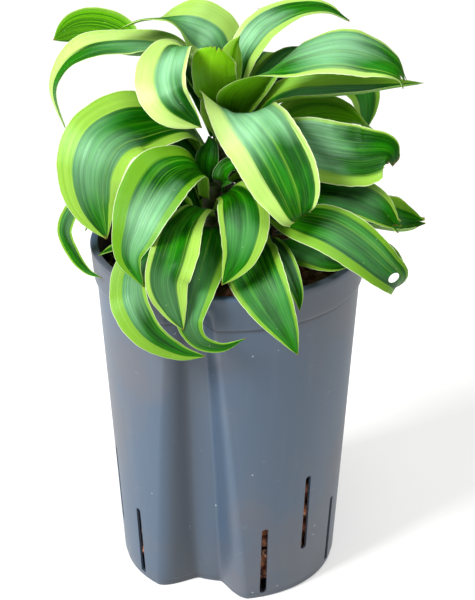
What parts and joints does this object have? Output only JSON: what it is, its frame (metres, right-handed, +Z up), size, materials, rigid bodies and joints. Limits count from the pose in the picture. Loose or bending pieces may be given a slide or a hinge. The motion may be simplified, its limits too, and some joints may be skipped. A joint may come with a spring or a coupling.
{
  "type": "potted plant",
  "caption": "Young variegated dracaena: arching lime-edged green leaves in several heads on short stems, rooted in clay pebbles in a tall fluted culture pot with drain slots.",
  "frame": {"origin": "middle of the culture pot's flat underside", "axes": "+Z up along the pot's axis; -Y to the front, where the flute is, a little to the left; +X to the right as seen from the front"},
  "size_m": [0.1955, 0.1742, 0.3102],
  "materials": {
    "pot_plastic": "injection-moulded blue-grey plastic, satin, with faint scuffs and flash at the slots",
    "clay": "unglazed expanded clay, rough and dull reddish brown",
    "stem_bark": "ringed green-brown bark of a short cane",
    "leaf_blade": "glossy waxy blade, dark green with pale streaks and broad lime margins"
  },
  "bodies": {
    "root": {"clay_pebbles": "clay", "culture_pot": "pot_plastic", "front_leaf_01": "leaf_blade", "front_leaf_02": "leaf_blade", "front_leaf_03": "leaf_blade", "front_leaf_04": "leaf_blade", "front_leaf_05": "leaf_blade", "front_leaf_06": "leaf_blade", "front_leaf_07": "leaf_blade", "front_leaf_08": "leaf_blade", "front_leaf_09": "leaf_blade", "front_leaf_10": "leaf_blade", "front_leaf_11": "leaf_blade", "front_leaf_12": "leaf_blade", "front_leaf_13": "leaf_blade", "right_leaf_01": "leaf_blade", "right_leaf_02": "leaf_blade", "right_leaf_03": "leaf_blade", "right_leaf_04": "leaf_blade", "right_leaf_05": "leaf_blade", "right_leaf_06": "leaf_blade", "right_leaf_07": "leaf_blade", "right_leaf_08": "leaf_blade", "right_leaf_09": "leaf_blade", "stem_front": "stem_bark", "stem_right": "stem_bark", "stem_upper": "stem_bark", "upper_leaf_01": "leaf_blade", "upper_leaf_02": "leaf_blade", "upper_leaf_03": "leaf_blade", "upper_leaf_04": "leaf_blade", "upper_leaf_05": "leaf_blade", "upper_leaf_06": "leaf_blade", "upper_leaf_07": "leaf_blade", "upper_leaf_08": "leaf_blade", "upper_leaf_09": "leaf_blade", "upper_leaf_10": "leaf_blade", "upper_leaf_11": "leaf_blade", "upper_leaf_12": "leaf_blade", "upper_leaf_13": "leaf_blade", "upper_leaf_14": "leaf_blade", "upper_leaf_15": "leaf_blade", "upper_leaf_16": "leaf_blade", "upper_leaf_17": "leaf_blade", "upper_leaf_18": "leaf_blade", "upper_leaf_19": "leaf_blade", "upper_leaf_20": "leaf_blade", "upper_leaf_21": "leaf_blade", "upper_leaf_22": "leaf_blade"}
  },
  "joints": []
}
